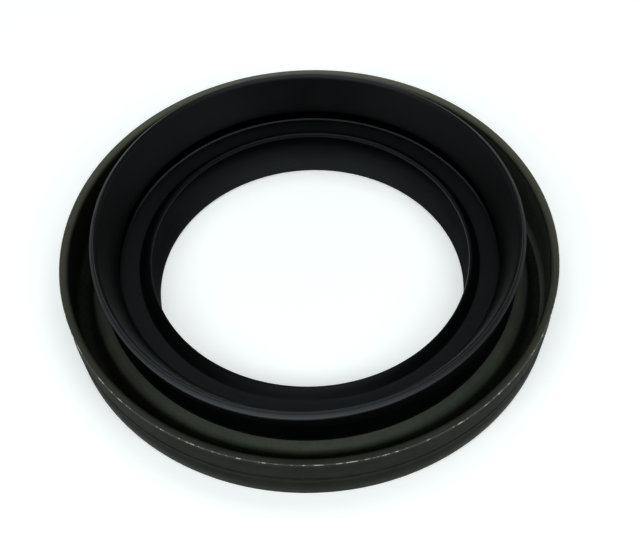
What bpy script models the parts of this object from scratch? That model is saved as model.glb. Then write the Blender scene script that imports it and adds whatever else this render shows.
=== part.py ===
"""Shaft seal for a 52 mm shaft in an 80 mm housing bore.

Three pieces, turned about the Z axis, with the air side up and the case's bottom at Z = 0:
a pressed-steel case of U section with an inward flange, a moulded rubber sealing element that wraps
the flange and carries a side lip, a dust lip and the main lip, and the garter spring that closes
the main lip on the shaft. Sizes are in metres.
"""

import math

import bpy

# The shaft, and the whole section between the shaft and the housing
shaft_diameter = 0.0520
section_depth = 0.0140

# Steel case
case_height = 0.0105
sheet_thickness = 0.0014
bend_radius = 0.0010
channel_width = 0.0021
cone_angle = math.radians(64)
rim_burr_break = 0.0001
rim_roll = 0.0007
rim_flare = 0.0002
rim_flare_height = 0.0004
press_line_drop = 0.0043
press_line_width = 0.0005
press_line_depth = 0.0002
lead_in_angle = math.radians(4.8)

# Rubber that wraps the flange
bond_gap = 0.0003
top_cover = 0.0006
bottom_cover = 0.0006
bottom_cover_width = 0.0020
throat_wall = 0.0011
foot_setback = 0.0003
foot_thickness = 0.0005

# Side lip, which flares up and outward past the rim
side_lip_rise = 0.0080
side_lip_angle = math.radians(60.9)
side_lip_crest_width = 0.0002
side_lip_crest_drop = 0.0006
side_lip_bevel_width = 0.00045
side_lip_bevel_drop = 0.0005
neck_setback = 0.0006
neck_rise = 0.0018
flex_groove_setback = 0.0028
flex_groove_radius = 0.0010
flex_groove_opening = 0.0018
flex_groove_overhang = 0.0003

# Dust lip, which leans up and inward to the shaft
dust_lip_interference = 0.0004
dust_lip_angle = math.radians(38)
dust_lip_edge = 0.0004
dust_lip_edge_lean = 0.00006
dust_lip_root = 0.0008

# Main lip, which reaches down to the shaft on the oil side
main_lip_interference = 0.0009
lip_edge_height = 0.0005
lip_length = 0.0062
throat_clearance = 0.0015
throat_relief = 0.0003
air_side_angle = math.radians(25)
oil_side_run = 0.0009
nose_drop = 0.0003
head_thickness = 0.0014
arm_thickness = 0.0012

# Garter spring
coil_radius = 0.0008
wire_diameter = 0.0005
spring_clearance = 0.0002
spring_rise = 0.0012
spring_turns = 72
groove_grip_angle = math.radians(60)

# Rounding of the moulded corners
sharp_edge = 0.00010
moulded_edge = 0.00015
neck_fillet = 0.00080
arm_root_fillet = 0.00050
arm_waist_fillet = 0.00030
throat_fillet = 0.00060
dust_lip_fillet = 0.00030

# Shares that keep a fillet inside its two sides, and the flex groove a closed round
fillet_side_share = 0.45
widest_groove_opening = 0.95

# Fineness of the faceted surfaces
ring_segments = 60
coil_steps = 6
edge_steps = 1
fillet_steps = 2
bend_steps = 3
groove_steps = 6

# Places worked out from the sizes
shaft_radius = shaft_diameter / 2
outer_radius = shaft_radius + section_depth
flange_top = lip_edge_height + lip_length
flange_bottom = flange_top - sheet_thickness
throat_radius = shaft_radius + throat_clearance
slot_radius = throat_radius + throat_wall
flange_bore_radius = slot_radius + bond_gap
cone_foot_radius = outer_radius - sheet_thickness - channel_width
cone_run = (flange_top - sheet_thickness) / math.tan(cone_angle)
shoulder_radius = cone_foot_radius - cone_run
shoulder_bend = bend_radius + sheet_thickness
shoulder_tangent = shoulder_radius - shoulder_bend * math.tan(cone_angle / 2)
cover_top = flange_top + bond_gap + top_cover
cover_bottom = flange_bottom - bond_gap - bottom_cover
foot_radius = shoulder_radius - foot_setback
lip_edge_radius = shaft_radius - main_lip_interference
groove_radius = coil_radius + spring_clearance
spring_ring_radius = lip_edge_radius + head_thickness + groove_radius
spring_height = lip_edge_height + spring_rise


def polar(centre, radius, angle):
    """The point at an angle, measured from the outward direction, on a circle of the section."""
    return (centre[0] + radius * math.cos(angle), centre[1] + radius * math.sin(angle))


def arc(centre, radius, start, end, steps):
    """Points along a circle of the section from one angle to another, both ends included."""
    return [polar(centre, radius, start + (end - start) * i / steps) for i in range(steps + 1)]


def rounded(corners):
    """An outline whose corners, given as (r, z, radius, steps), are replaced by tangent arcs.

    A radius is limited to what the two sides of its corner leave room for."""
    outline = []
    count = len(corners)
    for i, (r, z, radius, steps) in enumerate(corners):
        before = corners[i - 1]
        after = corners[(i + 1) % count]
        to_before = math.hypot(before[0] - r, before[1] - z)
        to_after = math.hypot(after[0] - r, after[1] - z)
        if radius == 0:
            outline.append((r, z))
            continue
        u = ((before[0] - r) / to_before, (before[1] - z) / to_before)
        v = ((after[0] - r) / to_after, (after[1] - z) / to_after)
        half = math.acos(max(-1.0, min(1.0, u[0] * v[0] + u[1] * v[1]))) / 2
        reach = min(radius / math.tan(half), fillet_side_share * min(to_before, to_after))
        radius = reach * math.tan(half)
        middle = (u[0] + v[0], u[1] + v[1])
        length = math.hypot(*middle)
        distance = radius / math.sin(half)
        centre = (r + middle[0] / length * distance, z + middle[1] / length * distance)
        start = math.atan2(z + u[1] * reach - centre[1], r + u[0] * reach - centre[0])
        end = math.atan2(z + v[1] * reach - centre[1], r + v[0] * reach - centre[0])
        turn = (end - start + math.pi) % (2 * math.pi) - math.pi
        outline += arc(centre, radius, start, start + turn, steps)
    return outline


def bent_sheet(path, thickness, inside_radius, steps):
    """The two faces of a sheet that is bent along a path of straight runs.

    The path is the sheet's middle line. Each face is a list of points, the left one first."""
    middle_radius = inside_radius + thickness / 2
    left = []
    right = []

    def put(point, normal):
        left.append((point[0] + normal[0] * thickness / 2, point[1] + normal[1] * thickness / 2))
        right.append((point[0] - normal[0] * thickness / 2, point[1] - normal[1] * thickness / 2))

    headings = [math.atan2(b[1] - a[1], b[0] - a[0]) for a, b in zip(path, path[1:])]
    put(path[0], (-math.sin(headings[0]), math.cos(headings[0])))
    for corner, into, out in zip(path[1:-1], headings, headings[1:]):
        turn = (out - into + math.pi) % (2 * math.pi) - math.pi
        side = math.copysign(1, turn)
        back = middle_radius * math.tan(abs(turn) / 2)
        start = (corner[0] - back * math.cos(into), corner[1] - back * math.sin(into))
        normal = (-math.sin(into) * side, math.cos(into) * side)
        centre = (start[0] + middle_radius * normal[0], start[1] + middle_radius * normal[1])
        for i in range(steps + 1):
            heading = into + turn * i / steps
            outward = (-math.sin(heading), math.cos(heading))
            point = (centre[0] - middle_radius * outward[0] * side,
                     centre[1] - middle_radius * outward[1] * side)
            put(point, outward)
    put(path[-1], (-math.sin(headings[-1]), math.cos(headings[-1])))
    return left, right


def case_outline():
    """Section of the case: down the outer wall, in along the bottom, up the cone and in to the flange."""
    half = sheet_thickness / 2
    wall = outer_radius - half
    lean = half * math.tan(cone_angle / 2)
    path = [
        (wall, case_height),
        (wall, half),
        (cone_foot_radius - lean, half),
        (shoulder_radius - lean, flange_top - half),
        (flange_bore_radius, flange_top - half),
    ]
    outside, inside = bent_sheet(path, sheet_thickness, bend_radius, bend_steps)
    wall_radius = outer_radius - rim_flare
    line_top = case_height - press_line_drop
    line_bottom = line_top - press_line_width
    rim_and_line = [
        (outer_radius - rim_burr_break, case_height),
        (outer_radius, case_height - rim_burr_break),
        (wall_radius, case_height - rim_flare_height),
        (wall_radius, line_top),
        (wall_radius - press_line_depth, line_top - press_line_width / 4),
        (wall_radius - press_line_depth, line_bottom + press_line_width / 4),
        (wall_radius, line_bottom),
    ]
    lead_in = math.tan(lead_in_angle)
    lower_wall = [(min(r, wall_radius - (line_bottom - z) * lead_in), z) for r, z in outside[1:]]
    roll_centre = (outer_radius - sheet_thickness + rim_roll, case_height - rim_roll)
    inner_rim = arc(roll_centre, rim_roll, math.pi, math.pi / 2, bend_steps)
    return rim_and_line + lower_wall + inside[:0:-1] + inner_rim


def sealing_element_outline():
    """Section of the rubber, from the side lip's edge down its outer side and back up the bore."""
    lip_top = cover_top + side_lip_rise
    groove_edge = foot_radius - flex_groove_setback
    groove_half = min(flex_groove_opening / 2, widest_groove_opening * flex_groove_radius)
    groove_turn = math.pi - math.asin(groove_half / flex_groove_radius)
    groove_centre = (groove_edge - flex_groove_radius * math.cos(groove_turn), cover_top + groove_half)
    groove_mouth = polar(groove_centre, flex_groove_radius, groove_turn)
    lip_root = (groove_mouth[0] - flex_groove_overhang, groove_mouth[1] + flex_groove_overhang / 2)
    lip_edge_inner = lip_root[0] + (lip_top - lip_root[1]) / math.tan(side_lip_angle)
    crest_foot = (lip_edge_inner + side_lip_crest_width, lip_top - side_lip_crest_drop)
    bevel_foot = (crest_foot[0] + side_lip_bevel_width, crest_foot[1] - side_lip_bevel_drop)
    side_lip = [
        (lip_root[0], lip_root[1], moulded_edge, edge_steps),
        (lip_edge_inner, lip_top, moulded_edge, edge_steps),
        (crest_foot[0], crest_foot[1], 0, 0),
        (bevel_foot[0], bevel_foot[1], moulded_edge, edge_steps),
        (foot_radius - neck_setback, cover_top + neck_rise, neck_fillet, bend_steps),
    ]
    bend_centre = (shoulder_tangent, flange_top - shoulder_bend)
    foot_bend = shoulder_bend + bond_gap
    foot_angle = math.acos((foot_radius - shoulder_tangent) / foot_bend)
    foot_corner = polar(bend_centre, foot_bend, foot_angle)
    foot = [(foot_corner[0], foot_corner[1] + foot_thickness, moulded_edge, edge_steps)]
    foot += [
        (r, z, 0, 0)
        for r, z in arc(bend_centre, foot_bend, foot_angle, math.pi / 2, fillet_steps)
    ]
    flange_wrap = [
        (slot_radius, flange_top + bond_gap, sharp_edge, edge_steps),
        (slot_radius, flange_bottom - bond_gap, sharp_edge, edge_steps),
        (flange_bore_radius + bottom_cover_width, flange_bottom - bond_gap, 0, 0),
        (flange_bore_radius + bottom_cover_width, cover_bottom, moulded_edge, edge_steps),
    ]
    spring_centre = (spring_ring_radius, spring_height)
    groove_top = polar(spring_centre, groove_radius, groove_grip_angle)
    groove_end = polar(spring_centre, groove_radius, -groove_grip_angle)
    waist_height = (groove_top[1] + cover_bottom) / 2
    air_side_slope = math.tan(air_side_angle)
    waist_radius = lip_edge_radius + (waist_height - lip_edge_height) * air_side_slope + arm_thickness
    arm = [
        (waist_radius + (cover_bottom - waist_height), cover_bottom, arm_root_fillet, fillet_steps),
        (waist_radius, waist_height, arm_waist_fillet, fillet_steps),
    ]
    spring_groove = [
        (r, z, 0, 0)
        for r, z in arc(spring_centre, groove_radius, groove_grip_angle,
                        2 * math.pi - groove_grip_angle, groove_steps)
    ]
    nose_height = lip_edge_height - nose_drop
    nose = [
        (groove_end[0], nose_height, moulded_edge, edge_steps),
        (lip_edge_radius + oil_side_run, nose_height, sharp_edge, edge_steps),
        (lip_edge_radius, lip_edge_height, 0, 0),
    ]
    throat_low = lip_edge_height + (throat_radius - lip_edge_radius) / air_side_slope
    dust_tip_radius = shaft_radius - dust_lip_interference
    dust_tip_height = cover_top + (throat_radius - dust_tip_radius) * math.tan(dust_lip_angle)
    throat = [
        (throat_radius, throat_low, throat_fillet, fillet_steps),
        (throat_radius + throat_relief, cover_top - dust_lip_root, dust_lip_fillet, edge_steps),
    ]
    dust_lip = [
        (dust_tip_radius + dust_lip_edge_lean, dust_tip_height - 2 * dust_lip_edge, 0, 0),
        (dust_tip_radius, dust_tip_height - dust_lip_edge, 0, 0),
        (dust_tip_radius + dust_lip_edge, dust_tip_height, 0, 0),
        (throat_radius, cover_top, dust_lip_fillet, fillet_steps),
    ]
    flex_groove = [
        (r, z, 0, 0)
        for r, z in arc(groove_centre, flex_groove_radius, -groove_turn, groove_turn, groove_steps)
    ]
    return rounded(side_lip + foot + flange_wrap + arm + spring_groove + nose + throat + dust_lip
                   + flex_groove)


def principled(name, colour, roughness, metallic):
    """A material with the piece's colour and gloss."""
    material = bpy.data.materials.new(name)
    material.use_nodes = True
    shader = material.node_tree.nodes["Principled BSDF"]
    shader.inputs["Base Color"].default_value = (*colour, 1)
    shader.inputs["Roughness"].default_value = roughness
    shader.inputs["Metallic"].default_value = metallic
    return material


def turned(name, outline, material):
    """A ring made by carrying a closed section once round the Z axis with a Screw modifier."""
    count = len(outline)
    mesh = bpy.data.meshes.new(name)
    mesh.from_pydata([(r, 0, z) for r, z in outline], [(i, (i + 1) % count) for i in range(count)], [])
    mesh.materials.append(material)
    ring = bpy.data.objects.new(name, mesh)
    bpy.context.collection.objects.link(ring)
    screw = ring.modifiers.new("turn", "SCREW")
    screw.angle = 2 * math.pi
    screw.steps = ring_segments
    screw.render_steps = ring_segments
    screw.use_merge_vertices = True
    screw.merge_threshold = 0.000002
    screw.use_smooth_shade = True
    return ring


def garter_coil(name, material):
    """The spring: a wire wound round a ring, closed on itself, as a bevelled curve."""
    path = bpy.data.curves.new(name, "CURVE")
    path.dimensions = "3D"
    path.bevel_depth = wire_diameter / 2
    path.bevel_resolution = 0
    path.materials.append(material)
    count = spring_turns * coil_steps
    spline = path.splines.new("POLY")
    spline.points.add(count - 1)
    spline.use_cyclic_u = True
    winding_radius = coil_radius - wire_diameter / 2
    for i, point in enumerate(spline.points):
        around = 2 * math.pi * i / count
        winding = 2 * math.pi * i / coil_steps
        r = spring_ring_radius + winding_radius * math.cos(winding)
        z = spring_height + winding_radius * math.sin(winding)
        point.co = (r * math.cos(around), r * math.sin(around), z, 1)
    coil = bpy.data.objects.new(name, path)
    bpy.context.collection.objects.link(coil)
    return coil


def main():
    for old in list(bpy.data.objects):
        bpy.data.objects.remove(old, do_unlink=True)
    steel = principled("phosphated_steel", (0.045, 0.047, 0.039), 0.45, 0.30)
    rubber = principled("black_rubber", (0.008, 0.0085, 0.0095), 0.50, 0.0)
    spring_steel = principled("spring_steel", (0.45, 0.44, 0.42), 0.30, 1.0)
    turned("metal_case", case_outline(), steel)
    turned("sealing_element", sealing_element_outline(), rubber)
    garter_coil("garter_spring", spring_steel)


main()
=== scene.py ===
# %% [markdown]
# # Dressing a shaft seal
#
# A radial shaft seal is three pieces that never part: a steel case pressed from sheet, a rubber
# element moulded onto it, and a small garter spring that hugs the main lip. All three are rings, so
# almost everything in this lesson is one idea used three times: work out a section with numpy,
# then carry it round an axis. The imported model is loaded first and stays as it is. It says how
# large each ring is, and the finer rings made here are fitted inside it.

import math

import bpy
import numpy as np
from mathutils import Matrix, Vector


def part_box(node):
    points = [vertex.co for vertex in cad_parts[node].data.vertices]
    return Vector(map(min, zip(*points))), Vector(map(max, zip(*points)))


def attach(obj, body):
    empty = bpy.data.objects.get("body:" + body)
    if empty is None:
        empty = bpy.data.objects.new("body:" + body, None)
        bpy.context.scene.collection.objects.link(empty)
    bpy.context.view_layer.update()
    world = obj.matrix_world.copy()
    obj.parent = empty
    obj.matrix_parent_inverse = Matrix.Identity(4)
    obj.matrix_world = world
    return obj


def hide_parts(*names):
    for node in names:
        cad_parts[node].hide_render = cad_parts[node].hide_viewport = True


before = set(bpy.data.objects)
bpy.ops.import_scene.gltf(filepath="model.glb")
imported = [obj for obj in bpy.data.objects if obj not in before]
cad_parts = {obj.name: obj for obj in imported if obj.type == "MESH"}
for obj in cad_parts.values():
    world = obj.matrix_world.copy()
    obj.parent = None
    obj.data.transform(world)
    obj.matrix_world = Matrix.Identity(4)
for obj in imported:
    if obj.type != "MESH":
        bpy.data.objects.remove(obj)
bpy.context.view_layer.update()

# %% [markdown]
# ## Sizes
#
# The sizes that the model can tell are read from its boxes: how wide and tall the case is, how high
# the flared side lip stands, and where the spring lies. The others are those of the same section:
# sheet, lips, grooves and fillets. They are written once, in metres, and every outline below is
# built from them.

# %% Sizes read from the model
case_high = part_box("metal_case")[1]
rubber_low, rubber_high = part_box("sealing_element")
spring_low, spring_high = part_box("garter_spring")
outer_radius = case_high.x
case_height = case_high.z
lip_top = rubber_high.z
nose_bottom = rubber_low.z
coil_radius = (spring_high.z - spring_low.z) / 2
spring_radius = spring_high.x - coil_radius
spring_height = (spring_high.z + spring_low.z) / 2
print("spring ring", round(1000 * spring_radius, 2), "mm at", round(1000 * spring_height, 2), "mm")

# %% Sizes of the section
sheet = 0.0014
inside_bend = 0.0010
channel_width = 0.0021
cone_angle = math.radians(64)
rim_tilt = math.radians(17)
rim_fillet = 0.0002
rim_roll = 0.0006
rim_flare = 0.0002
rim_flare_height = 0.0004
flange_top = 0.0067
flange_bore = 0.0289
press_line_height = 0.0062
press_line_width = 0.0005
press_line_depth = 0.0002
lead_in_slope = math.tan(math.radians(4.8))
cover = 0.0009
throat_radius = 0.0275
throat_relief = 0.0003
throat_wall = 0.0011
lip_edge_radius = 0.0251
lip_edge_height = 0.0005
air_side_slope = math.tan(math.radians(25))
cone_foot_radius = outer_radius - sheet - channel_width
shoulder_radius = cone_foot_radius - (flange_top - sheet) / math.tan(cone_angle)
shoulder_bend = inside_bend + sheet
cover_top = flange_top + cover
print("shoulder at", round(1000 * shoulder_radius, 2), "mm, cover at", round(1000 * cover_top, 2), "mm")

# %% [markdown]
# ## Two tools for sections
#
# A section is a closed line in the plane of radius and height. Its corners are never perfectly
# sharp on a moulded or pressed part, so the first tool replaces each corner by the arc that touches
# both of its sides. The second one adds points along the straight runs, because fine relief and
# smooth shading need them there too.

# %% Round the corners of a section
def circle(centre, radius, start, end, count):
    """Points on a circle: the centre plus radius times the cosine and sine of each angle."""
    angle = np.linspace(start, end, count)
    return np.stack([centre[0] + radius * np.cos(angle), centre[1] + radius * np.sin(angle)], axis=1)


def rounded(corners, steps=6):
    """Each corner (r, z, fillet) becomes the arc that touches both sides.

    With half the corner's angle h, the arc starts at fillet / tan(h) from the corner, and its
    centre lies on the bisector at fillet / sin(h). A fillet is held to under half of a side."""
    corners = np.asarray(corners, float)
    point, fillet = corners[:, :2], corners[:, 2]
    back = np.roll(point, 1, axis=0) - point
    ahead = np.roll(point, -1, axis=0) - point
    back_length = np.linalg.norm(back, axis=1)
    ahead_length = np.linalg.norm(ahead, axis=1)
    u = back / back_length[:, None]
    v = ahead / ahead_length[:, None]
    half = np.arccos(np.clip((u * v).sum(axis=1), -1, 1)) / 2
    reach = np.minimum(fillet / np.tan(half), 0.45 * np.minimum(back_length, ahead_length))
    radius = reach * np.tan(half)
    middle = u + v
    middle /= np.maximum(np.linalg.norm(middle, axis=1), 1e-12)[:, None]
    centre = point + middle * (radius / np.sin(half))[:, None]
    first = point + u * reach[:, None] - centre
    last = point + v * reach[:, None] - centre
    start = np.arctan2(first[:, 1], first[:, 0])
    turn = (np.arctan2(last[:, 1], last[:, 0]) - start + np.pi) % (2 * np.pi) - np.pi
    angle = start[:, None] + turn[:, None] * np.linspace(0, 1, steps)
    arcs = centre[:, None] + radius[:, None, None] * np.stack([np.cos(angle), np.sin(angle)], axis=2)
    line = arcs.reshape(-1, 2)
    apart = np.linalg.norm(line - np.roll(line, 1, axis=0), axis=1) > 1e-7
    return line[apart]


# %% Add points along the long runs
def filled_in(line, longest):
    """Splits each side into equal parts no longer than `longest`, a number or one value per side."""
    ahead = np.roll(line, -1, axis=0)
    length = np.linalg.norm(ahead - line, axis=1)
    parts = np.maximum(1, np.ceil(length / longest).astype(int))
    side = np.repeat(np.arange(len(line)), parts)
    step = np.arange(len(side)) - np.repeat(np.cumsum(parts) - parts, parts)
    share = (step / parts[side])[:, None]
    return line[side] * (1 - share) + ahead[side] * share


def counterclockwise(line):
    """The same closed line, turned so that its outer side is on the right as it is walked."""
    ahead = np.roll(line, -1, axis=0)
    area = (line[:, 0] * ahead[:, 1] - ahead[:, 0] * line[:, 1]).sum() / 2
    return line if area > 0 else line[::-1]


# %% [markdown]
# ## From a section to a ring
#
# A turned part is a surface of two parameters. One is the place along the section, the other the
# angle round the axis. Spinning a profile with a modifier would give the same shape, but a grid of
# numbers can be shifted a little at each point before it becomes a mesh. That is how the lip gets
# its slight warp, the main lip its oil ribs and the case its nick.

# %% Make a mesh from a closed grid
def closed_grid(name, points, *materials):
    """A mesh from a grid of points (rings, places, 3) that closes on itself in both directions.

    Quad (i, j) joins the points (i, j), (i + 1, j), (i + 1, j + 1) and (i, j + 1)."""
    rings, places = points.shape[:2]
    index = np.arange(rings * places).reshape(rings, places)
    next_ring = np.roll(index, -1, axis=0)
    quads = np.stack([index, next_ring, np.roll(next_ring, -1, axis=1), np.roll(index, -1, axis=1)], axis=2)
    mesh = bpy.data.meshes.new(name)
    mesh.from_pydata(points.reshape(-1, 3), [], quads.reshape(-1, 4))
    mesh.polygons.foreach_set("use_smooth", np.ones(rings * places, bool))
    for material in materials:
        mesh.materials.append(material)
    mesh.update()
    piece = bpy.data.objects.new(name, mesh)
    bpy.context.scene.collection.objects.link(piece)
    print(name, "has", 2 * rings * places, "triangles")
    return piece


def turned(section, angle, shift=0):
    """Carries a section round the axis: x = r cos a, y = r sin a, z = z.

    `shift` is added to (r, z) first, one pair for each angle and place."""
    rz = section[None] + np.zeros((len(angle), 1, 2)) + shift
    a = angle[:, None]
    return np.stack([rz[..., 0] * np.cos(a), rz[..., 0] * np.sin(a), rz[..., 1]], axis=2)


def painted(piece, name, values):
    """Stores one number for each point of the mesh, for its material to read."""
    layer = piece.data.attributes.new(name, "FLOAT", "POINT")
    layer.data.foreach_set("value", np.asarray(values, np.float32).reshape(-1))


def smooth_step(x, low, high):
    """0 below `low`, 1 above `high`, and the curve 3t^2 - 2t^3 between them."""
    t = np.clip((np.asarray(x, float) - low) / (high - low), 0, 1)
    return t * t * (3 - 2 * t)


# %% [markdown]
# ## Effects that several finishes share
#
# Nothing on a used part has one flat colour. Two effects come back in the finishes here, so each is
# a shader node group with its own inputs. Blotches at a large scale are mottled phosphate, dust and
# traces of oil, and at a small one a fine grain that lifts the surface. Turning marks run round the
# axis, because the mould and the press tool were turned on a lathe. The groups read Object
# coordinates, so a pattern stays on the part when the part moves.

# %% Helpers for shader nodes
def new_group(name, inputs, output):
    """An empty node group with number inputs and one number output."""
    group = bpy.data.node_groups.new(name, "ShaderNodeTree")
    for label, value in inputs.items():
        socket = group.interface.new_socket(label, in_out="INPUT", socket_type="NodeSocketFloat")
        socket.default_value = value
    group.interface.new_socket(output, in_out="OUTPUT", socket_type="NodeSocketFloat")
    return group, group.nodes.new("NodeGroupInput"), group.nodes.new("NodeGroupOutput")


def node(tree, kind, inputs=None, **settings):
    """A node with its settings, and with its inputs set to numbers or linked to sockets."""
    made = tree.nodes.new(kind)
    for label, value in settings.items():
        setattr(made, label, value)
    for label, value in (inputs or {}).items():
        if isinstance(value, bpy.types.NodeSocket):
            tree.links.new(value, made.inputs[label])
        else:
            made.inputs[label].default_value = value
    return made


def math_node(tree, operation, a, b=0.0, c=0.0):
    """The result of a Math node, clamped only where the operation says so."""
    made = node(tree, "ShaderNodeMath", {0: a, 1: b, 2: c}, operation=operation)
    return made.outputs[0]


def between(tree, value, low, high, to_low=0.0, to_high=1.0):
    """A value from one range to another, as a smooth step."""
    made = node(tree, "ShaderNodeMapRange", {"Value": value, "From Min": low, "From Max": high,
                "To Min": to_low, "To Max": to_high}, interpolation_type="SMOOTHSTEP")
    return made.outputs["Result"]


def mixed(tree, factor, a, b):
    """A colour between two colours."""
    made = tree.nodes.new("ShaderNodeMix")
    made.data_type = "RGBA"
    for index, value in ((0, factor), (6, a), (7, b)):
        if isinstance(value, bpy.types.NodeSocket):
            tree.links.new(value, made.inputs[index])
        elif index:
            made.inputs[index].default_value = (*value, 1)
        else:
            made.inputs[index].default_value = value
    return made.outputs[2]


# %% The blotches group
def blotches_group():
    """Noise in the part's own millimetres, pushed towards black and white by its contrast."""
    group, given, result = new_group("blotches", {"Per mm": 1.0, "Detail": 4.0, "Low": 0.4, "High": 0.6,
                                                  "Seed": 0.0}, "Mask")
    place = node(group, "ShaderNodeTexCoord").outputs["Object"]
    scale = math_node(group, "MULTIPLY", given.outputs["Per mm"], 1000.0)
    noise = node(group, "ShaderNodeTexNoise", {"Vector": place, "W": given.outputs["Seed"],
                 "Scale": scale, "Detail": given.outputs["Detail"], "Roughness": 0.6},
                 noise_dimensions="4D")
    mask = between(group, noise.outputs["Fac"], given.outputs["Low"], given.outputs["High"])
    group.links.new(mask, result.inputs["Mask"])
    return group


# %% The turning marks group
def turning_marks_group():
    """Noise of radius and height only, so that it makes rings, with a slow change round the axis."""
    group, given, result = new_group("turning marks", {"Per mm": 3.0, "Drift": 0.02}, "Height")
    place = node(group, "ShaderNodeTexCoord").outputs["Object"]
    xyz = node(group, "ShaderNodeSeparateXYZ", {"Vector": place})
    x, y, z = xyz.outputs
    radius = math_node(group, "SQRT", math_node(group, "ADD", math_node(group, "MULTIPLY", x, x),
                       math_node(group, "MULTIPLY", y, y)))
    drift = math_node(group, "MULTIPLY", x, given.outputs["Drift"])
    rings = node(group, "ShaderNodeCombineXYZ", {"X": radius, "Y": z, "Z": drift})
    scale = math_node(group, "MULTIPLY", given.outputs["Per mm"], 1000.0)
    noise = node(group, "ShaderNodeTexNoise", {"Vector": rings.outputs[0], "Scale": scale, "Detail": 3.0})
    group.links.new(noise.outputs["Fac"], result.inputs["Height"])
    return group


blotches = blotches_group()
turning_marks = turning_marks_group()
print("node groups:", [g.name for g in bpy.data.node_groups])

# %% [markdown]
# ## Phosphated steel
#
# The case is pressed from sheet and then phosphated, which leaves a thin crystalline coat: a dark
# grey-green that is dull, faintly mottled and never quite even. It is thinnest on the outer edge of
# the rim, where handling rubs it through to bright steel. One Principled shader does it, with the
# colour and the roughness driven by blotches and by five masks painted on the mesh: where the steel
# is rubbed bright; the half-polished land of the rim, with a painted highlight strongest at the back;
# the chalky coat of the channel, with painted light on the cone and the inner wall; the lighter bands
# of the outer wall; and the matt bands between them.

# %% The steel of the case
oiled_steel = ((0.0055, 0.0066, 0.0050), (0.0085, 0.0100, 0.0075))
# Chalky coat, also carrying painted light on the cone and the inner wall.
chalky_and_lit_steel = ((0.062, 0.073, 0.059), (0.078, 0.091, 0.071))
# Colour of the lighter bands of the outer wall.
lighter_band_steel = ((0.050, 0.060, 0.053), (0.074, 0.078, 0.064))
speck_colour = (0.030, 0.034, 0.026)
land_colour = (0.110, 0.115, 0.088)
bright_steel = (0.46, 0.46, 0.44)
least_worn = 0.08
steel_roughness = 0.42


def phosphated_steel():
    material = bpy.data.materials.new("phosphated steel")
    material.use_nodes = True
    tree = material.node_tree
    shader = tree.nodes["Principled BSDF"]
    shader.inputs["Specular IOR Level"].default_value = 0.05
    shader.inputs["Specular Tint"].default_value = (0.94, 1.0, 0.86, 1)
    cloudy = node(tree, "ShaderNodeGroup", {"Per mm": 0.22, "Detail": 5.0, "Low": 0.35, "High": 0.65},
                  node_tree=blotches)
    speckled = node(tree, "ShaderNodeGroup", {"Per mm": 2.6, "Detail": 3.0, "Low": 0.38, "High": 0.66,
                    "Seed": 3.0}, node_tree=blotches)
    crystals = node(tree, "ShaderNodeGroup", {"Per mm": 9.0, "Detail": 2.0, "Low": 0.2, "High": 0.8,
                    "Seed": 5.0}, node_tree=blotches)
    marks = node(tree, "ShaderNodeGroup", {"Per mm": 3.5, "Drift": 0.02}, node_tree=turning_marks)
    rub = node(tree, "ShaderNodeAttribute", attribute_name="rub").outputs["Fac"]
    chalky_and_painted_light = node(tree, "ShaderNodeAttribute", attribute_name="chalky_and_painted_light").outputs["Fac"]
    land = node(tree, "ShaderNodeAttribute", attribute_name="land").outputs["Fac"]
    lighter_band = node(tree, "ShaderNodeAttribute", attribute_name="lighter_band").outputs["Fac"]
    matt = node(tree, "ShaderNodeAttribute", attribute_name="matt").outputs["Fac"]
    rings = node(tree, "ShaderNodeGroup", {"Per mm": 0.9, "Drift": 0.06}, node_tree=turning_marks)
    flecks = node(tree, "ShaderNodeGroup", {"Per mm": 1.0, "Detail": 4.0, "Low": 0.50, "High": 0.60,
                  "Seed": 8.0}, node_tree=blotches)
    # Lighter bands of the outer wall, by height, broken up by rings.
    banded = math_node(tree, "MULTIPLY", lighter_band, between(tree, rings.outputs[0], 0.35, 0.65, 0.55, 1.0))
    handled = mixed(tree, cloudy.outputs[0], *oiled_steel)
    handled = mixed(tree, banded, handled, mixed(tree, cloudy.outputs[0], *lighter_band_steel))
    # The chalky coat with painted light. Below it, painted shade keeps the oiled colour low in the channel.
    base = mixed(tree, chalky_and_painted_light, handled, mixed(tree, cloudy.outputs[0], *chalky_and_lit_steel))
    base = mixed(tree, math_node(tree, "MULTIPLY", speckled.outputs[0], 0.25), base, speck_colour)
    # The half-polished land, with a painted highlight that is strongest at the back.
    base = mixed(tree, land, base, land_colour)
    worn = math_node(tree, "MULTIPLY", rub, between(tree, flecks.outputs[0], 0.0, 1.0, least_worn, 1.0))
    base = mixed(tree, worn, base, bright_steel)
    tree.links.new(base, shader.inputs["Base Color"])
    metal = math_node(tree, "MAXIMUM", worn, math_node(tree, "MULTIPLY", land, 0.85))
    tree.links.new(metal, shader.inputs["Metallic"])
    rough = math_node(tree, "MULTIPLY_ADD", speckled.outputs[0], 0.10, steel_roughness)
    rough = math_node(tree, "MULTIPLY_ADD", matt, 0.40, rough)
    tree.links.new(math_node(tree, "SUBTRACT", rough, math_node(tree, "MULTIPLY", worn, 0.14)),
                   shader.inputs["Roughness"])
    height = math_node(tree, "MULTIPLY_ADD", marks.outputs[0], 0.5, math_node(tree, "MULTIPLY",
                       crystals.outputs[0], 0.6))
    bump = node(tree, "ShaderNodeBump", {"Height": height, "Strength": 0.35, "Distance": 0.00004})
    tree.links.new(bump.outputs["Normal"], shader.inputs["Normal"])
    return material


steel = phosphated_steel()

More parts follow.
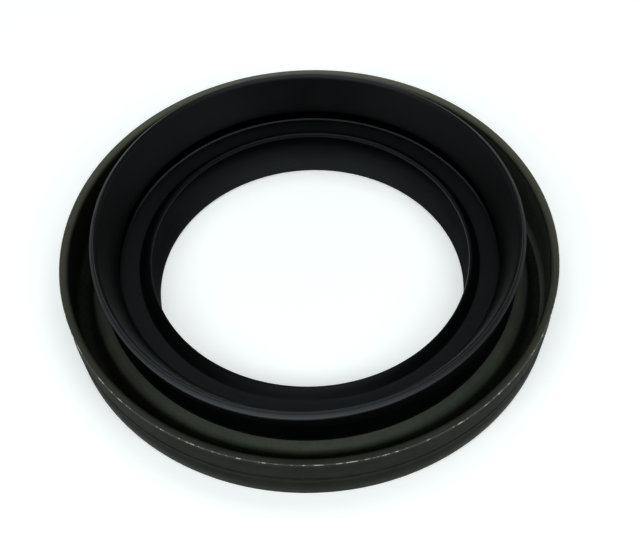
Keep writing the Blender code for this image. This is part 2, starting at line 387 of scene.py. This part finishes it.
# %% [markdown]
# ## Black rubber
#
# Moulded nitrile rubber is nearly black with a faint blue cast. It is satin where the mould was
# polished and duller where it was not, and it reflects less than a lacquer does, so its specular
# level is low. The side lip's edge was trimmed after moulding. That cut face is greyer, and it
# catches the light along the lip. One painted mask says where it is, and more faintly paints
# highlights on other edges and faces. A second mask is painted shade. There the shader turns to a
# black metal, which mirrors next to nothing: in the hollows, where hardly any light gets in, on the
# sides of the main lip and on the dust lip at the left.

# %% The rubber of the sealing element
rubber_colours = ((0.0005, 0.0006, 0.0006), (0.0008, 0.0010, 0.0010))
dust_colour = (0.030, 0.032, 0.030)
dust_share = 0.10
# Grey of the trimmed face and of the painted highlights.
trim_and_highlight_colour = (0.080, 0.090, 0.100)
black = (0.0, 0.0, 0.0)
rubber_roughness = 0.40


def black_rubber():
    material = bpy.data.materials.new("black rubber")
    material.use_nodes = True
    tree = material.node_tree
    shader = tree.nodes["Principled BSDF"]
    shader.inputs["Specular IOR Level"].default_value = 0.12
    shader.inputs["Specular Tint"].default_value = (0.88, 0.97, 1.0, 1)
    cloudy = node(tree, "ShaderNodeGroup", {"Per mm": 0.16, "Detail": 4.0, "Low": 0.35, "High": 0.65,
                  "Seed": 1.0}, node_tree=blotches)
    grain = node(tree, "ShaderNodeGroup", {"Per mm": 7.0, "Detail": 3.0, "Low": 0.2, "High": 0.8,
                 "Seed": 2.0}, node_tree=blotches)
    dust = node(tree, "ShaderNodeGroup", {"Per mm": 1.7, "Detail": 6.0, "Low": 0.66, "High": 0.76,
                "Seed": 6.0}, node_tree=blotches)
    marks = node(tree, "ShaderNodeGroup", {"Per mm": 4.0, "Drift": 0.01}, node_tree=turning_marks)
    trim_and_highlight = node(tree, "ShaderNodeAttribute", attribute_name="trim_and_highlight").outputs["Fac"]
    painted_shade = node(tree, "ShaderNodeAttribute", attribute_name="painted_shade").outputs["Fac"]
    base = mixed(tree, cloudy.outputs[0], *rubber_colours)
    base = mixed(tree, math_node(tree, "MULTIPLY", dust.outputs[0], dust_share), base, dust_colour)
    # The trimmed face and the painted highlights, in a light grey.
    base = mixed(tree, trim_and_highlight, base, trim_and_highlight_colour)
    # Painted shade: black, and a black metal that mirrors next to nothing.
    base = mixed(tree, painted_shade, base, black)
    tree.links.new(base, shader.inputs["Base Color"])
    tree.links.new(painted_shade, shader.inputs["Metallic"])
    rough = math_node(tree, "MULTIPLY_ADD", cloudy.outputs[0], 0.06, rubber_roughness)
    rough = math_node(tree, "MULTIPLY_ADD", trim_and_highlight, 0.35, rough)
    tree.links.new(math_node(tree, "MULTIPLY_ADD", painted_shade, 0.5, rough), shader.inputs["Roughness"])
    height = math_node(tree, "MULTIPLY_ADD", marks.outputs[0], 0.8, math_node(tree, "MULTIPLY",
                       grain.outputs[0], 0.5))
    bump = node(tree, "ShaderNodeBump", {"Height": height, "Strength": 0.25, "Distance": 0.00003})
    tree.links.new(bump.outputs["Normal"], shader.inputs["Normal"])
    return material


rubber = black_rubber()

# %% [markdown]
# ## Spring wire
#
# The garter spring is drawn from bright spring steel and lightly oiled. It shows only from below
# and through the gap beside the main lip. Drawing leaves lines along the wire, which are far too
# fine to see here, so a slight change of colour and gloss is enough.

# %% The steel of the spring
def spring_wire():
    material = bpy.data.materials.new("spring wire")
    material.use_nodes = True
    tree = material.node_tree
    shader = tree.nodes["Principled BSDF"]
    shader.inputs["Metallic"].default_value = 1.0
    oily = node(tree, "ShaderNodeGroup", {"Per mm": 0.5, "Detail": 3.0, "Low": 0.4, "High": 0.62,
                "Seed": 4.0}, node_tree=blotches)
    tree.links.new(mixed(tree, oily.outputs[0], (0.46, 0.45, 0.42), (0.30, 0.28, 0.24)),
                   shader.inputs["Base Color"])
    tree.links.new(between(tree, oily.outputs[0], 0.0, 1.0, 0.34, 0.20), shader.inputs["Roughness"])
    return material


wire_steel = spring_wire()

# %% [markdown]
# ## The pressed case
#
# The case is one sheet, 1.4 mm thick, bent into a U with an inward flange. The honest way to draw
# it is to bend a middle line and offset it by half the thickness to both sides, because then both
# faces of every bend share one centre, as they do in the press. The rim is added at the end: its
# land leans inward, between a roll on the inside and a small fillet on the outside.

# %% Bend the sheet
fine_reach = 0.0010
fine_step = 0.00006
case_step = 0.0006


def bent_sheet(path, steps=10):
    """Both faces of the sheet whose middle line follows a path of straight runs.

    At a corner that turns by t, the middle line leaves its run at R tan(t / 2) from the corner and
    follows an arc of radius R. The faces lie half a thickness to either side."""
    path = np.asarray(path, float)
    middle_radius = inside_bend + sheet / 2
    runs = np.diff(path, axis=0)
    heading = np.arctan2(runs[:, 1], runs[:, 0])
    turn = (np.diff(heading) + np.pi) % (2 * np.pi) - np.pi
    side = np.sign(turn)
    along = np.stack([np.cos(heading), np.sin(heading)], axis=1)
    across = np.stack([-np.sin(heading), np.cos(heading)], axis=1)
    start = path[1:-1] - along[:-1] * (middle_radius * np.tan(abs(turn) / 2))[:, None]
    centre = start + across[:-1] * (middle_radius * side)[:, None]
    angle = (heading[:-1, None] + turn[:, None] * np.linspace(0, 1, steps)).reshape(-1)
    normal = np.stack([-np.sin(angle), np.cos(angle)], axis=1)
    middle = np.repeat(centre, steps, axis=0) - normal * np.repeat(middle_radius * side, steps)[:, None]
    middle = np.vstack([path[:1], middle, path[-1:]])
    normal = np.vstack([across[:1], normal, across[-1:]])
    return middle + normal * sheet / 2, middle - normal * sheet / 2


def case_section():
    """Down the outer wall, in along the bottom, up the cone, in to the flange, and back inside."""
    lean = sheet / 2 * math.tan(cone_angle / 2)
    outside, inside = bent_sheet([
        (outer_radius - sheet / 2, case_height),
        (outer_radius - sheet / 2, sheet / 2),
        (cone_foot_radius - lean, sheet / 2),
        (shoulder_radius - lean, flange_top - sheet / 2),
        (flange_bore, flange_top - sheet / 2),
    ])
    wall_radius = outer_radius - rim_flare
    line_bottom = press_line_height - press_line_width
    inner_radius = outer_radius - sheet
    under_rim = case_height - 2 * sheet
    rim = rounded([
        (inner_radius, under_rim, 0.0),
        (inner_radius, case_height - sheet * math.tan(rim_tilt), rim_roll),
        (outer_radius, case_height, rim_fillet),
        (outer_radius, under_rim, 0.0),
    ], steps=10)
    rim = rim[rim[:, 1] > under_rim + rim_fillet]
    press_line = np.array([
        (wall_radius, case_height - rim_flare_height),
        (wall_radius, press_line_height),
        (wall_radius - press_line_depth, press_line_height - press_line_width / 4),
        (wall_radius - press_line_depth, line_bottom + press_line_width / 4),
        (wall_radius, line_bottom),
    ])
    lead_in = wall_radius - (line_bottom - outside[1:, 1]) * lead_in_slope
    outside = np.column_stack([np.minimum(outside[1:, 0], lead_in), outside[1:, 1]])
    line = np.vstack([rim, press_line, outside, inside[:0:-1]])
    from_corner = np.hypot(line[:, 0] - outer_radius, line[:, 1] - case_height)
    return counterclockwise(filled_in(line, np.where(from_corner < fine_reach, fine_step, case_step)))


case_line = case_section()
print("case section:", len(case_line), "points")

# %% [markdown]
# ## Marks of use, painted light and shade on the case
#
# The case is turned with 480 steps. A nick in the outer wall, at the press line, is a small Gaussian
# dent. The rest is painted. The rubbed line is narrower than a fifth of a millimetre and runs just
# under the rim's outer edge, where the shader breaks it into specks. The land of the rim carries a
# painted highlight, strongest at the back. The cone in the channel is partly a chalky coat and partly
# painted light, strongest at the front. Below it the cone keeps its dark oiled colour as painted
# shade, which reaches higher at the front. The inner wall has painted light at the right. The outer
# wall has lighter and matt bands, given as a share at each height.

# %% Sides of the ring
right = 0.0
back = math.pi / 2
left = math.pi
front = -math.pi / 2


def towards(angle, side):
    """1 on one side of the ring and 0 on the opposite side: 1/2 + 1/2 cos(angle - side)."""
    return (0.5 + 0.5 * np.cos(angle - side))[:, None]


# %% Sizes of the marks on the case
nick_angle = math.radians(-35.3)
nick_height = 0.0060
nick_width = 0.00035
nick_depth = 0.00016
rub_height = case_height - 1.2 * rim_fillet
rub_full = 0.00007
rub_end = 0.00017
land_depth = 0.0007
land_top = 0.00002
# Painted highlight on the rim's land: its share at the front, rising to 1 at the back.
least_land_highlight = 0.05
chalky_lit_bottom = 0.0022
# How much higher the painted shade reaches on the cone at the front.
painted_shade_depth = 0.0022
chalky_lit_fade = 0.0010
shoulder_fade_from = 0.0053
shoulder_fade_to = 0.0066
inner_wall_least = 0.06
inner_wall_top = case_height - 0.0008
# Shares of the lighter and of the matt bands of the outer wall at each height.
wall_heights = (0.0, 0.0007, 0.0019, 0.0032, 0.0045, 0.0053, 0.0069, 0.0076, 0.0090, 0.0099, 0.0103)
lighter_band_shares = (0.30, 0.26, 0.10, 0.0, 0.0, 0.08, 0.10, 0.08, 0.08, 0.25, 0.40)
matt_shares = (0.0, 0.0, 0.15, 0.60, 0.90, 0.40, 0.60, 0.50, 0.60, 0.20, 0.0)

# %% Turn the case and paint its marks
case_steps = 480


def chalky_and_lit_parts(angle, r, z):
    """Chalky coat and painted light: cone above painted shade, less near the shoulder; inner wall at right.
    """
    at_front = towards(angle, front) ** 2
    # Painted shade keeps the lower cone dark, higher at the front. Painted light lies above it, most at the
    # front.
    chalky_lit_from = chalky_lit_bottom + painted_shade_depth * at_front
    on_cone = smooth_step(z, chalky_lit_from, chalky_lit_from + chalky_lit_fade) * (1 - 0.5 * smooth_step(z, shoulder_fade_from, shoulder_fade_to))
    on_cone = on_cone * (0.5 + 0.5 * at_front) * (r < cone_foot_radius) * (r > flange_bore + 0.001)
    inner_wall = (r < outer_radius - sheet / 2) * (r > outer_radius - 1.5 * sheet) * (z < inner_wall_top)
    at_right = towards(angle, right) ** 4
    return np.maximum(on_cone, inner_wall * (inner_wall_least + (1 - inner_wall_least) * at_right))


def case_ring():
    angle = np.arange(case_steps) * 2 * np.pi / case_steps
    r, z = case_line[:, 0][None], case_line[:, 1][None]
    outer_wall = smooth_step(r, outer_radius - 0.0011, outer_radius - 0.0008)
    around = (angle[:, None] - nick_angle + np.pi) % (2 * np.pi) - np.pi
    distance = np.hypot(around * outer_radius, z - nick_height)
    dent = nick_depth * np.exp(-(distance / nick_width) ** 2) * outer_wall
    shift = np.stack([-dent, np.zeros_like(dent)], axis=2)
    piece = closed_grid("steel_case", turned(case_line, angle, shift), steel)
    all_round = np.zeros((case_steps, 1))
    from_edge = np.hypot(r - outer_radius, z - rub_height)
    land = smooth_step(z, case_height - land_depth, case_height - land_top)
    # A painted highlight on the land, strongest at the back.
    land_highlight_share = least_land_highlight + (1 - least_land_highlight) * towards(angle, back) ** 1.2
    painted(piece, "rub", (1 - smooth_step(from_edge, rub_full, rub_end)) + all_round)
    painted(piece, "land", land * land_highlight_share)
    # The chalky coat, with painted light and painted shade in the channel.
    painted(piece, "chalky_and_painted_light", chalky_and_lit_parts(angle, r, z))
    painted(piece, "lighter_band", np.interp(z, wall_heights, lighter_band_shares) * outer_wall + all_round)
    painted(piece, "matt", np.interp(z, wall_heights, matt_shares) * outer_wall + all_round)
    return piece


case = case_ring()
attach(case, "root")
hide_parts("metal_case")

# %% [markdown]
# ## The rubber element
#
# The element is moulded round the flange of the case and carries three lips. The side lip flares
# up and outward, with a rounded crest and a trimmed bevel at its edge, a round groove inside its
# root that lets it flex, and a waist outside. A small bead runs beside the groove. The dust lip
# leans up and inward to the shaft. The main lip reaches down to its sharp edge on the oil side, with
# a round seat for the spring behind it. The outline goes once round all of them, and the corners
# get the fillets that a mould would have: each is a point of the section with its own fillet.

# %% Sizes of the lips
foot_radius = shoulder_radius - 0.0003
flex_groove_radius = 0.0010
flex_groove_edge = foot_radius - 0.0028
flex_groove_half = 0.0009
side_lip_slope = math.tan(math.radians(60.9))
crest_top = cover_top + 0.0080
crest_width = 0.0002
crest_drop = 0.0006
lip_root = (flex_groove_edge - 0.0003, cover_top + 2 * flex_groove_half + 0.00015)
crest = lip_root[0] + (crest_top - lip_root[1]) / side_lip_slope
crest_foot = (crest + crest_width, crest_top - crest_drop)
bevel_width = 0.00055
bevel_drop = 0.00045
step_depth = 0.00006
bead_width = 0.00042
bead_height = 0.00012
bond = 0.00002
dust_tip_radius = 0.0256
dust_tip_height = cover_top + (throat_radius - dust_tip_radius) * math.tan(math.radians(38))
dust_lip_edge = 0.0004
arm_thickness = 0.0012
spring_seat = coil_radius + 0.00003
seat_grip = math.radians(60)


# %% The outline of the rubber
lip_step = 0.00035
rubber_step = 0.0009


def rubber_section():
    flex_turn = math.pi - math.asin(flex_groove_half / flex_groove_radius)
    flex_centre = (flex_groove_edge - flex_groove_radius * math.cos(flex_turn), cover_top + flex_groove_half)
    bend_centre = (shoulder_radius - shoulder_bend * math.tan(cone_angle / 2), flange_top - shoulder_bend)
    foot_angle = math.acos((foot_radius - bend_centre[0]) / shoulder_bend)
    foot = circle(bend_centre, shoulder_bend - bond, foot_angle, math.pi / 2, 6)
    seat_centre = (spring_radius, spring_height)
    seat = circle(seat_centre, spring_seat, seat_grip, 2 * math.pi - seat_grip, 18)
    cover_bottom = flange_top - sheet - cover
    slot = throat_radius + throat_wall
    flange_bottom = flange_top - sheet
    waist_height = (seat[0, 1] + cover_bottom) / 2
    waist = lip_edge_radius + (waist_height - lip_edge_height) * air_side_slope + arm_thickness
    throat_low = lip_edge_height + (throat_radius - lip_edge_radius) / air_side_slope
    corners = np.vstack([
        [(*lip_root, 0.00015)],
        [(crest, crest_top, 0.00017)],
        [(crest_foot[0] - step_depth / 2, crest_foot[1] - step_depth, 0.00003)],
        [(crest_foot[0] + step_depth, crest_foot[1] - step_depth / 2, 0.00004)],
        [(crest_foot[0] + bevel_width, crest_foot[1] - bevel_drop, 0.00008)],
        [(foot_radius - 0.0006, cover_top + 0.0018, 0.0012)],
        [(foot_radius, foot[0, 1] + 0.0007, 0.00018)],
        np.column_stack([foot, np.zeros(len(foot))]),
        [(slot - bond, flange_top - bond, 0.0)],
        [(slot - bond, flange_bottom + bond, 0.0)],
        [(flange_bore + 0.0020, flange_bottom + bond, 0.0)],
        [(flange_bore + 0.0020, cover_bottom, 0.00030)],
        [(waist + (cover_bottom - waist_height), cover_bottom, 0.0005)],
        [(waist, waist_height, 0.0003)],
        np.column_stack([seat, np.zeros(len(seat))]),
        [(seat[-1, 0], nose_bottom, 0.00015)],
        [(lip_edge_radius + 0.0009, nose_bottom, 0.0002)],
        [(lip_edge_radius, lip_edge_height, 0.00004)],
        [(throat_radius, throat_low, 0.0006)],
        [(throat_radius + throat_relief, cover_top - 0.0008, 0.0003)],
        [(dust_tip_radius + 0.00006, dust_tip_height - 2 * dust_lip_edge, 0.0002)],
        [(dust_tip_radius, dust_tip_height - dust_lip_edge, 0.00020)],
        [(dust_tip_radius + dust_lip_edge * 0.3, dust_tip_height - dust_lip_edge * 0.3, 0.00015)],
        [(dust_tip_radius + dust_lip_edge * 0.9, dust_tip_height, 0.00012)],
        [(throat_radius, cover_top, 0.0004)],
        [(flex_groove_edge - bead_width, cover_top, 0.00010)],
        [(flex_groove_edge - bead_width * 0.45, cover_top + bead_height, 0.00006)],
        [(flex_groove_edge, cover_top + bead_height * 0.8, 0.00004)],
        np.column_stack([circle(flex_centre, flex_groove_radius, -flex_turn, flex_turn, 14), np.zeros(14)]),
    ])
    line = rounded(corners, 4)
    on_main_lip = (line[:, 0] < throat_radius) & (line[:, 1] < throat_low)
    line = counterclockwise(filled_in(line, np.where(on_main_lip, lip_step, rubber_step)))
    return np.column_stack([line[:, 0], np.minimum(line[:, 1], lip_top)])


rubber_line = rubber_section()
print("rubber section:", len(rubber_line), "points, lowest", rubber_line[:, 1].min())

# %% [markdown]
# ## Relief on the lips
#
# Two things make the moulded rings less than perfect, and both are small shifts of the grid. The
# flared lip isn't quite round, as on any seal that has been stored and handled. Its warp is a sum of
# three slow waves round the axis, which fades out at the waist. The main lip and the dust lip each
# lie slightly off the middle, which is one wave. The main lip also has fine ribs on its air side,
# slanted so that a turning shaft pumps the oil back. A rib is a cosine of the angle and of the way
# along the lip, and only its upper half is kept.

# %% The warp and the ribs
ring_steps = 880
rib_count = 220
rib_height = 0.00004
rib_slant = math.tan(math.radians(36))
rib_band = (0.0004, 0.0034)
rib_ends = (0.0002, 0.0008)
side_warp_ends = 0.0010
main_warp_band = (0.0001, 0.0013)
side_lip_waves = {1: (-0.00021, 0.00015), 2: (-0.00013, 0.00008), 3: (0.00009, 0.00020)}
main_lip_waves = {1: (0.00020, -0.00010)}
dust_lip_waves = {1: (0.00009, 0.00003)}


def waves(angle, sizes):
    """The sum of a_k cos(k angle) + b_k sin(k angle) over the waves k."""
    return sum(a * np.cos(k * angle) + b * np.sin(k * angle) for k, (a, b) in sizes.items())[:, None]


def lip_warp(angle, line):
    """How far the lips move out: waves that fade towards each lip's root."""
    r, z = line[:, 0], line[:, 1]
    from_edge = r - lip_edge_radius
    side = smooth_step(z, cover_top + side_warp_ends, lip_top - side_warp_ends)
    side = side * (r > flex_groove_edge - bead_width)
    main = (1 - smooth_step(from_edge, *main_warp_band)) * (z < cover_top - 2 * dust_lip_edge)
    dust = (1 - smooth_step(r, dust_tip_radius, throat_radius)) * (z > cover_top - dust_lip_edge / 2)
    return (waves(angle, side_lip_waves) * side + waves(angle, main_lip_waves) * main
            + waves(angle, dust_lip_waves) * dust)


def outward(line):
    """The unit normal at each point of a counterclockwise section, from its two neighbours."""
    tangent = np.roll(line, -1, axis=0) - np.roll(line, 1, axis=0)
    tangent /= np.linalg.norm(tangent, axis=1)[:, None]
    return np.column_stack([tangent[:, 1], -tangent[:, 0]])


def ribs(angle, line):
    """Height of the ribs: the upper half of a cosine whose phase grows round and along the lip."""
    along = (line[:, 1] - lip_edge_height) / math.cos(math.atan(air_side_slope))
    phase = rib_count * (angle[:, None] + along[None] / (rib_slant * lip_edge_radius))
    low, high = rib_band
    on_lip = smooth_step(along, low, low + rib_ends[0]) * (1 - smooth_step(along, high - rib_ends[1], high))
    on_lip = on_lip * (line[:, 0] < throat_radius - 0.0001) * (outward(line)[:, 0] < 0)
    return rib_height * np.clip(np.cos(phase), 0, 1) * on_lip[None]


# %% [markdown]
# ## Painted highlights and shade on the rubber
#
# Two masks are painted on the rubber. The first is the trimmed grey of the bevel together with
# painted highlights. These lie on the bevel and the crest, most at the front and the back. Three more
# lie at the back: on the top of the bead, on the top of the dust lip, and on the ribbed face of the
# main lip, with lighter rib tops. A faint one lies on the flat between groove and throat, away from
# the back. The second is painted shade: the flex groove, the throat under the dust lip, the sides of
# the main lip and the dust lip's tip at the left.

# %% Shares of the trim and the painted highlights
bevel_share = 0.60
crest_highlight_share = 0.24
crest_highlight_back = 0.58
bead_highlight = 0.42
tip_highlight = 0.09
lip_highlight = 0.15
flat_highlight = 0.035
rib_highlight = 0.6
highlight_turn = math.radians(80)
least_highlight = 0.25
crest_highlight_shift = 0.00012

# %% Paint the trim and the painted highlights
def edge_trim_and_highlight(angle, r, z):
    """The trimmed bevel and crest of the side lip, with painted highlights strongest near the front and
    back.
    """
    bevel_end = crest_foot[1] - bevel_drop
    at_back = towards(angle, back) ** 2
    crest_highlight_part = crest_highlight_share + (crest_highlight_back - crest_highlight_share) * at_back
    past_crest = smooth_step(r - crest_foot[0], 0.00006, 0.00020)
    share = crest_highlight_part + (bevel_share - crest_highlight_part) * past_crest
    over_crest = smooth_step(r - crest + crest_highlight_shift * at_back, -0.00010, 0.00005)
    above_end = smooth_step(z, bevel_end - 0.00018, bevel_end - 0.00003)
    # Painted highlights strongest at the front and the back.
    highlight_by_side = least_highlight + (1 - least_highlight) * towards(2 * angle, 2 * highlight_turn) ** 1.5
    return highlight_by_side * over_crest * above_end * share


def paint_trim_and_highlights(angle, r, z, facing_in):
    """The largest of the trim and painted highlights on the edge, bead, dust lip, main lip and flat."""
    at_back = towards(angle, back) ** 2
    flat_edge = flex_groove_edge - bead_width
    on_bead = (r > flat_edge) * (r < flex_groove_edge + 0.0001) * (z < cover_top + 0.0003)
    on_bead = on_bead * smooth_step(z, cover_top + bead_height / 2, cover_top + bead_height)
    bead_side = smooth_step(np.sin(angle), 0.2, 0.6)[:, None]
    on_tip = smooth_step(z, dust_tip_height - dust_lip_edge * 1.2, dust_tip_height)
    on_tip = on_tip * (r < throat_radius - dust_lip_edge)
    down_lip = smooth_step(throat_radius - r, 0.0, throat_radius - lip_edge_radius)
    down_lip = down_lip * (z < cover_top - 3 * dust_lip_edge) * facing_in
    # Painted highlight on the rib tops.
    lit_rib_tops = 0.8 + rib_highlight * ribs(angle, rubber_line) / rib_height
    on_flat = (r > throat_radius) * (r < flat_edge) * (abs(z - cover_top) < dust_lip_edge / 2)
    trim_and_light = edge_trim_and_highlight(angle, r, z)
    trim_and_light = np.maximum(trim_and_light, tip_highlight * on_tip * at_back)
    trim_and_light = np.maximum(trim_and_light, lip_highlight * down_lip * lit_rib_tops * at_back)
    trim_and_light = np.maximum(trim_and_light, bead_highlight * on_bead * bead_side)
    return np.maximum(trim_and_light, flat_highlight * on_flat * (1 - at_back))


# %% Paint the painted shade
throat_shade = 0.75
throat_fade = (0.0035, 0.0060)
side_shade = 0.60
left_tip_shade = 0.5


def shaded_parts(angle, r, z, facing_in):
    """Painted shade: the largest of the flex groove, the throat, the main lip's sides and the dust lip's
    left.
    """
    groove_wall = outward(rubber_line)[:, 0] < 0.9
    in_groove = (r > flex_groove_edge) * (r < foot_radius) * groove_wall
    in_groove = in_groove * (z > cover_top - dust_lip_edge / 2) * (z < cover_top + 2 * flex_groove_half)
    inside = facing_in * (r < throat_radius + 0.0005) * (z < dust_tip_height - dust_lip_edge * 1.5)
    at_sides = abs(np.cos(angle))[:, None] ** 3
    near_tip = (r < dust_tip_radius + 1.5 * dust_lip_edge) * (z > cover_top)
    dark = np.maximum(in_groove, throat_shade * smooth_step(z, *throat_fade) * inside)
    dark = np.maximum(dark, side_shade * at_sides * inside)
    return np.maximum(dark, left_tip_shade * towards(angle, left) ** 2 * near_tip)


# %% Turn the rubber
def rubber_ring():
    angle = np.arange(ring_steps) * 2 * np.pi / ring_steps
    shift = ribs(angle, rubber_line)[..., None] * outward(rubber_line)[None]
    shift[..., 0] += lip_warp(angle, rubber_line)
    piece = closed_grid("rubber_element", turned(rubber_line, angle, shift), rubber)
    r, z = rubber_line[:, 0], rubber_line[:, 1]
    facing_in = outward(rubber_line)[:, 0] < 0
    # The trimmed grey and the painted highlights.
    painted(piece, "trim_and_highlight", paint_trim_and_highlights(angle, r, z, facing_in))
    # Painted shade.
    painted(piece, "painted_shade", shaded_parts(angle, r, z, facing_in))
    return piece


element = rubber_ring()
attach(element, "root")
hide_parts("sealing_element")

# %% [markdown]
# ## The garter spring
#
# A garter spring is a close-wound coil joined end to end. Its wire is a tube round a line that
# winds round a ring, which is again a surface of two parameters: how far along the wire, and where
# on the wire's own circle. The number of turns follows from the wire: at the inside of the ring the
# turns touch.

# %% Wind the spring
wire = 0.0003
steps_per_turn = 9
wire_sides = 6
winding_radius = coil_radius - wire / 2
turns = int(2 * math.pi * (spring_radius - winding_radius) / wire)


def spring_ring():
    """The wire's middle line lies at angle a on the ring and turns a on the winding circle.

    Its point is (R + q cos w, q sin w) in (r, z), with w = turns a. The tube adds half a wire in
    the directions n, away from the winding's middle, and b, square to both n and the wire."""
    a = np.arange(turns * steps_per_turn) * 2 * np.pi / (turns * steps_per_turn)
    w = turns * a
    flat = np.zeros_like(a)
    radial = np.stack([np.cos(a), np.sin(a), flat], axis=1)
    around = np.stack([-np.sin(a), np.cos(a), flat], axis=1)
    up = np.array([[0.0, 0.0, 1.0]])
    n = radial * np.cos(w)[:, None] + up * np.sin(w)[:, None]
    middle = radial * spring_radius + n * winding_radius + up * spring_height
    reach = spring_radius + winding_radius * np.cos(w)
    climb = -radial * np.sin(w)[:, None] + up * np.cos(w)[:, None]
    tangent = around * reach[:, None] + climb * (winding_radius * turns)
    tangent /= np.linalg.norm(tangent, axis=1)[:, None]
    b = np.cross(tangent, n)
    s = np.arange(wire_sides) * 2 * np.pi / wire_sides
    tube = n[:, None] * np.cos(s)[None, :, None] + b[:, None] * np.sin(s)[None, :, None]
    return closed_grid("garter_coil", middle[:, None] + tube * wire / 2, wire_steel)


coil = spring_ring()
print(turns, "turns of", 1000 * wire, "mm wire")
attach(coil, "root")
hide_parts("garter_spring")

# %% [markdown]
# ## Floor and background
#
# The seal lies on a white sheet under soft light, and the picture's background is almost pure
# white, with only a faint shadow at the foot of the case. The floor is a plain pale diffuse
# surface. To the camera and in reflections it also glows a little, which lifts its open parts to
# full white and leaves the shadow.

# %% The floor
floor_size = 3.0
floor_colour = (0.83, 0.90, 0.89, 1)
floor_glow = 0.34


def white_sheet():
    material = bpy.data.materials.new("white sheet")
    material.use_nodes = True
    tree = material.node_tree
    tree.nodes.remove(tree.nodes["Principled BSDF"])
    paper = node(tree, "ShaderNodeBsdfDiffuse", {"Color": floor_colour})
    path = node(tree, "ShaderNodeLightPath")
    seen = math_node(tree, "MAXIMUM", path.outputs["Is Camera Ray"], math_node(tree, "MAXIMUM",
                     path.outputs["Is Glossy Ray"], path.outputs["Is Transmission Ray"]))
    glow = node(tree, "ShaderNodeEmission", {"Strength": math_node(tree, "MULTIPLY", seen, floor_glow)})
    both = node(tree, "ShaderNodeAddShader", {0: paper.outputs[0], 1: glow.outputs[0]})
    tree.links.new(both.outputs[0], tree.nodes["Material Output"].inputs["Surface"])
    return material


def floor_sheet():
    """A square of one face at height 0."""
    half = floor_size / 2
    corners = [(-half, -half, 0), (half, -half, 0), (half, half, 0), (-half, half, 0)]
    mesh = bpy.data.meshes.new("floor")
    mesh.from_pydata(corners, [], [(0, 1, 2, 3)])
    mesh.materials.append(white_sheet())
    sheet_of_paper = bpy.data.objects.new("floor", mesh)
    bpy.context.scene.collection.objects.link(sheet_of_paper)
    return sheet_of_paper


floor = floor_sheet()

# %% [markdown]
# ## Light
#
# The light was found from the photo, by fitting the strength of patches of sky to the brightness
# round the seal. What came out is simple: a wide soft box high in front of the seal, a second one
# above it and a little behind, and a room whose low walls are bright at the sides, weaker at the
# back and dark in front. The black lips mostly mirror the dark gap above the walls and stay black.
# The land of the rim at the back and the trimmed bevel mirror the boxes and shine, and painted highlights
# add to both.

# %% Soft boxes and the room
wall_light = 1.30
gap_light = 0.05
back_light = 0.35
back_wall_share = 0.25
wall_top = (0.30, 0.45)
open_front = (-0.97, -0.72)
back_fade = (0.35, 0.80)
behind_from = (0.30, 0.60)
behind_top = (0.60, 0.80)


def soft_box(name, place, width, height, radiance):
    """A rectangular area lamp at `place` that faces the origin, as bright as `radiance` to a viewer.

    A lamp of area A and power P looks P / (pi A) bright from anywhere in front of it."""
    lamp = bpy.data.lights.new(name, "AREA")
    lamp.shape = "RECTANGLE"
    lamp.size = width
    lamp.size_y = height
    lamp.energy = math.pi * width * height * radiance
    box = bpy.data.objects.new(name, lamp)
    box.location = place
    box.rotation_euler = (-Vector(place)).to_track_quat("-Z", "Y").to_euler()
    bpy.context.scene.collection.objects.link(box)


def room():
    """Low walls, bright at the sides, weaker at the back and open in front, and a gap above them.

    x, y and z are the direction's own parts, so a limit on z is the sine of a height."""
    world = bpy.data.worlds.new("room")
    bpy.context.scene.world = world
    world.use_nodes = True
    tree = world.node_tree
    background = tree.nodes["Background"]
    background.inputs["Color"].default_value = (0.97, 0.99, 1.0, 1)
    direction = node(tree, "ShaderNodeTexCoord").outputs["Generated"]
    x, y, z = node(tree, "ShaderNodeSeparateXYZ", {"Vector": direction}).outputs
    wall = between(tree, z, *wall_top, wall_light, gap_light)
    wall = math_node(tree, "MULTIPLY", wall, between(tree, y, *open_front))
    wall = math_node(tree, "MULTIPLY", wall, between(tree, y, *back_fade, 1.0, back_wall_share))
    behind = between(tree, z, *behind_top, back_light, 0.0)
    behind = math_node(tree, "MULTIPLY", between(tree, y, *behind_from), behind)
    light = math_node(tree, "MAXIMUM", wall, behind)
    path = node(tree, "ShaderNodeLightPath")
    seen = math_node(tree, "MAXIMUM", path.outputs["Is Camera Ray"], path.outputs["Is Transmission Ray"])
    strength = math_node(tree, "MAXIMUM", seen, light)
    tree.links.new(strength, background.inputs["Strength"])


room()
soft_box("key box", place=(0.00, -0.31, 0.40), width=0.80, height=0.18, radiance=4.6)
soft_box("back box", place=(0.03, 0.12, 0.50), width=0.50, height=0.22, radiance=2.2)

# %% [markdown]
# ## Camera
#
# The camera looks down at the seal from the front, 54 degrees above the floor. Its place and lens
# were found from the circles of the part: the rim, the press line, the lips and the bore all had to
# fall where the photo shows them. The photo is a crop, so the lens is shifted a little.

# %% The camera
camera_place = (0.00560, -0.13559, 0.18175)
camera_elevation = math.radians(54.341)
camera_roll = math.radians(-0.656)
camera_lens = 76.45
camera_shift = (-0.0391, 0.0484)


def camera():
    """Turned up from straight down by 90 degrees less the elevation, then rolled on its own axis."""
    data = bpy.data.cameras.new("camera")
    data.lens = camera_lens
    data.sensor_width = 36.0
    data.shift_x, data.shift_y = camera_shift
    data.clip_start = 0.01
    viewer = bpy.data.objects.new("camera", data)
    bpy.context.scene.collection.objects.link(viewer)
    viewer.matrix_world = (Matrix.Translation(camera_place)
                           @ Matrix.Rotation(math.pi / 2 - camera_elevation, 4, "X")
                           @ Matrix.Rotation(camera_roll, 4, "Z"))
    bpy.context.scene.camera = viewer


camera()
bpy.context.scene.view_settings.view_transform = "Standard"
